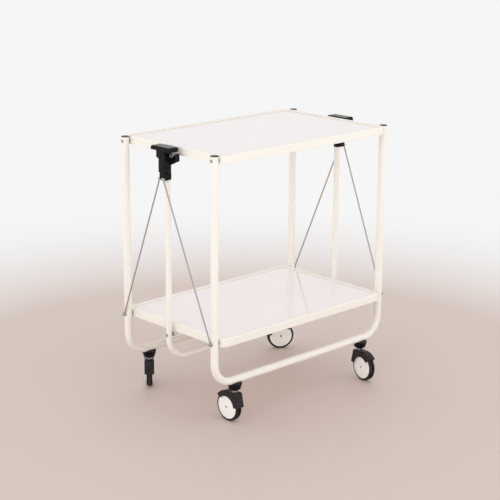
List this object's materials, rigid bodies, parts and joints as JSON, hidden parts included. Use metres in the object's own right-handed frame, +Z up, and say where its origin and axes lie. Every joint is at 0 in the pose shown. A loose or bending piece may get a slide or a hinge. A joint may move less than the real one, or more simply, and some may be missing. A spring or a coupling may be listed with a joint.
{
  "type": "folding tea trolley",
  "caption": "Collapsible tea trolley: bent-tube frames carry split trays that fold when the T-handles are lifted, on swivelling twin-wheel castors.",
  "frame": {"origin": "on the floor, under the middle of the opened trolley", "axes": "+Z up, +X along the length towards the right-hand T-handle, +Y from the front frame to the back frame"},
  "size_m": [0.654, 0.4352, 0.6875],
  "materials": {
    "cream_enamel": "glossy cream stove enamel",
    "white_laminate": "glossy off-white laminate",
    "black_plastic": "satin black moulded plastic",
    "bright_steel": "drawn bright steel",
    "black_rubber": "matt black rubber",
    "white_plastic": "glossy white moulded plastic"
  },
  "bodies": {
    "front_frame": {"front_tube": "cream_enamel", "front_post_caps": "black_plastic", "front_pivot_rivets": "bright_steel", "front_pivot_washers": "bright_steel", "front_left_socket": "black_plastic", "front_left_stem": "bright_steel", "front_right_socket": "black_plastic", "front_right_stem": "bright_steel"},
    "back_frame": {"back_tube": "cream_enamel", "back_post_caps": "black_plastic", "back_pivot_rivets": "bright_steel", "back_pivot_washers": "bright_steel", "back_left_socket": "black_plastic", "back_left_stem": "bright_steel", "back_right_socket": "black_plastic", "back_right_stem": "bright_steel"},
    "middle_frame": {"middle_tube": "cream_enamel", "centre_pivot_pins": "bright_steel", "centre_spacers": "bright_steel", "handle_left": "black_plastic", "handle_right": "black_plastic", "trigger_spring_left": "bright_steel", "trigger_spring_right": "bright_steel"},
    "trigger_left": {"trigger_left": "black_plastic"},
    "collar_left": {"collar_left": "black_plastic"},
    "trigger_right": {"trigger_right": "black_plastic"},
    "collar_right": {"collar_right": "black_plastic"},
    "upper_front_half": {"upper_front_rim": "cream_enamel", "upper_front_panel": "white_laminate"},
    "upper_back_half": {"upper_back_rim": "cream_enamel", "upper_back_panel": "white_laminate"},
    "lower_front_half": {"lower_front_rim": "cream_enamel", "lower_front_panel": "white_laminate"},
    "lower_back_half": {"lower_back_rim": "cream_enamel", "lower_back_panel": "white_laminate"},
    "front_left_rod": {"front_left_rod": "bright_steel"},
    "front_left_castor": {"front_left_hood": "black_plastic"},
    "front_left_wheels": {"front_left_tyres": "black_rubber", "front_left_hubs": "white_plastic", "front_left_axle": "bright_steel"},
    "front_right_rod": {"front_right_rod": "bright_steel"},
    "front_right_castor": {"front_right_hood": "black_plastic"},
    "front_right_wheels": {"front_right_tyres": "black_rubber", "front_right_hubs": "white_plastic", "front_right_axle": "bright_steel"},
    "back_left_rod": {"back_left_rod": "bright_steel"},
    "back_left_castor": {"back_left_hood": "black_plastic"},
    "back_left_wheels": {"back_left_tyres": "black_rubber", "back_left_hubs": "white_plastic", "back_left_axle": "bright_steel"},
    "back_right_rod": {"back_right_rod": "bright_steel"},
    "back_right_castor": {"back_right_hood": "black_plastic"},
    "back_right_wheels": {"back_right_tyres": "black_rubber", "back_right_hubs": "white_plastic", "back_right_axle": "bright_steel"}
  },
  "joints": [
    {"name": "fold", "type": "hinge", "parent": "front_frame", "child": "upper_front_half", "pos_m": [0, -0.165, 0.675], "axis": [1, 0, 0], "range_deg": [0, 74]},
    {"name": "middle_frame_swing", "type": "hinge", "parent": "upper_front_half", "child": "middle_frame", "pos_m": [0, 0, 0.6585], "axis": [-1, 0, 0], "range_deg": [0, 74]},
    {"name": "upper_back_fold", "type": "hinge", "parent": "middle_frame", "child": "upper_back_half", "pos_m": [0, 0, 0.6585], "axis": [-1, 0, 0], "range_deg": [0, 74]},
    {"name": "lower_front_fold", "type": "hinge", "parent": "middle_frame", "child": "lower_front_half", "pos_m": [0, 0, 0.2055], "axis": [1, 0, 0], "range_deg": [0, 74]},
    {"name": "lower_back_fold", "type": "hinge", "parent": "middle_frame", "child": "lower_back_half", "pos_m": [0, 0, 0.2055], "axis": [-1, 0, 0], "range_deg": [0, 74]},
    {"name": "back_frame_swing", "type": "hinge", "parent": "upper_back_half", "child": "back_frame", "pos_m": [0, 0.165, 0.675], "axis": [1, 0, 0], "range_deg": [0, 74]},
    {"name": "collar_left_slide", "type": "slide", "parent": "middle_frame", "child": "collar_left", "axis": [0, 0, -1], "range_m": [0, 0.145]},
    {"name": "trigger_left_squeeze", "type": "slide", "parent": "middle_frame", "child": "trigger_left", "axis": [0, 0, 1], "range_m": [0, 0.005], "stiffness_N_per_m": 400, "springref_m": -0.004, "deforming": ["trigger_spring_left"]},
    {"name": "collar_right_slide", "type": "slide", "parent": "middle_frame", "child": "collar_right", "axis": [0, 0, -1], "range_m": [0, 0.145]},
    {"name": "trigger_right_squeeze", "type": "slide", "parent": "middle_frame", "child": "trigger_right", "axis": [0, 0, 1], "range_m": [0, 0.005], "stiffness_N_per_m": 400, "springref_m": -0.004, "deforming": ["trigger_spring_right"]},
    {"name": "front_left_rod_lean", "type": "hinge", "parent": "front_frame", "child": "front_left_rod", "pos_m": [-0.3126, -0.165, 0.222], "axis": [1, 0, 0], "range_deg": [0, 14.9]},
    {"name": "front_right_rod_lean", "type": "hinge", "parent": "front_frame", "child": "front_right_rod", "pos_m": [0.3126, -0.165, 0.222], "axis": [1, 0, 0], "range_deg": [0, 14.9]},
    {"name": "back_left_rod_lean", "type": "hinge", "parent": "back_frame", "child": "back_left_rod", "pos_m": [-0.3126, 0.165, 0.222], "axis": [-1, 0, 0], "range_deg": [0, 14.9]},
    {"name": "back_right_rod_lean", "type": "hinge", "parent": "back_frame", "child": "back_right_rod", "pos_m": [0.3126, 0.165, 0.222], "axis": [-1, 0, 0], "range_deg": [0, 14.9]},
    {"name": "front_left_swivel", "type": "hinge", "parent": "front_frame", "child": "front_left_castor", "pos_m": [-0.232, -0.165, 0.0804], "axis": [0, 0, 1], "continuous": true},
    {"name": "front_left_roll", "type": "hinge", "parent": "front_left_castor", "child": "front_left_wheels", "pos_m": [-0.23183, -0.1455, 0.038], "axis": [-1, 0.0087, 0], "continuous": true},
    {"name": "front_right_swivel", "type": "hinge", "parent": "front_frame", "child": "front_right_castor", "pos_m": [0.232, -0.165, 0.0804], "axis": [0, 0, 1], "continuous": true},
    {"name": "front_right_roll", "type": "hinge", "parent": "front_right_castor", "child": "front_right_wheels", "pos_m": [0.22895, -0.18426, 0.038], "axis": [0.9877, -0.1564, 0], "continuous": true},
    {"name": "back_left_swivel", "type": "hinge", "parent": "back_frame", "child": "back_left_castor", "pos_m": [-0.232, 0.165, 0.0804], "axis": [0, 0, 1], "continuous": true},
    {"name": "back_left_roll", "type": "hinge", "parent": "back_left_castor", "child": "back_left_wheels", "pos_m": [-0.21947, 0.17994, 0.038], "axis": [-0.766, 0.6428, 0], "continuous": true},
    {"name": "back_right_swivel", "type": "hinge", "parent": "back_frame", "child": "back_right_castor", "pos_m": [0.232, 0.165, 0.0804], "axis": [0, 0, 1], "continuous": true},
    {"name": "back_right_roll", "type": "hinge", "parent": "back_right_castor", "child": "back_right_wheels", "pos_m": [0.24835, 0.15438, 0.038], "axis": [0.5446, 0.8387, 0], "continuous": true}
  ],
  "couplings": [
    {"joint": "middle_frame_swing", "follows": "fold", "ratio": 1},
    {"joint": "upper_back_fold", "follows": "fold", "ratio": 1},
    {"joint": "lower_front_fold", "follows": "fold", "ratio": 1},
    {"joint": "lower_back_fold", "follows": "fold", "ratio": 1},
    {"joint": "back_frame_swing", "follows": "fold", "ratio": 1},
    {"joint": "collar_left_slide", "follows": "fold", "m_per_rad": 0.11062},
    {"joint": "collar_right_slide", "follows": "fold", "m_per_rad": 0.11062},
    {"joint": "front_left_rod_lean", "follows": "fold", "ratio": 0.19986},
    {"joint": "front_right_rod_lean", "follows": "fold", "ratio": 0.19986},
    {"joint": "back_left_rod_lean", "follows": "fold", "ratio": 0.19986},
    {"joint": "back_right_rod_lean", "follows": "fold", "ratio": 0.19986}
  ]
}
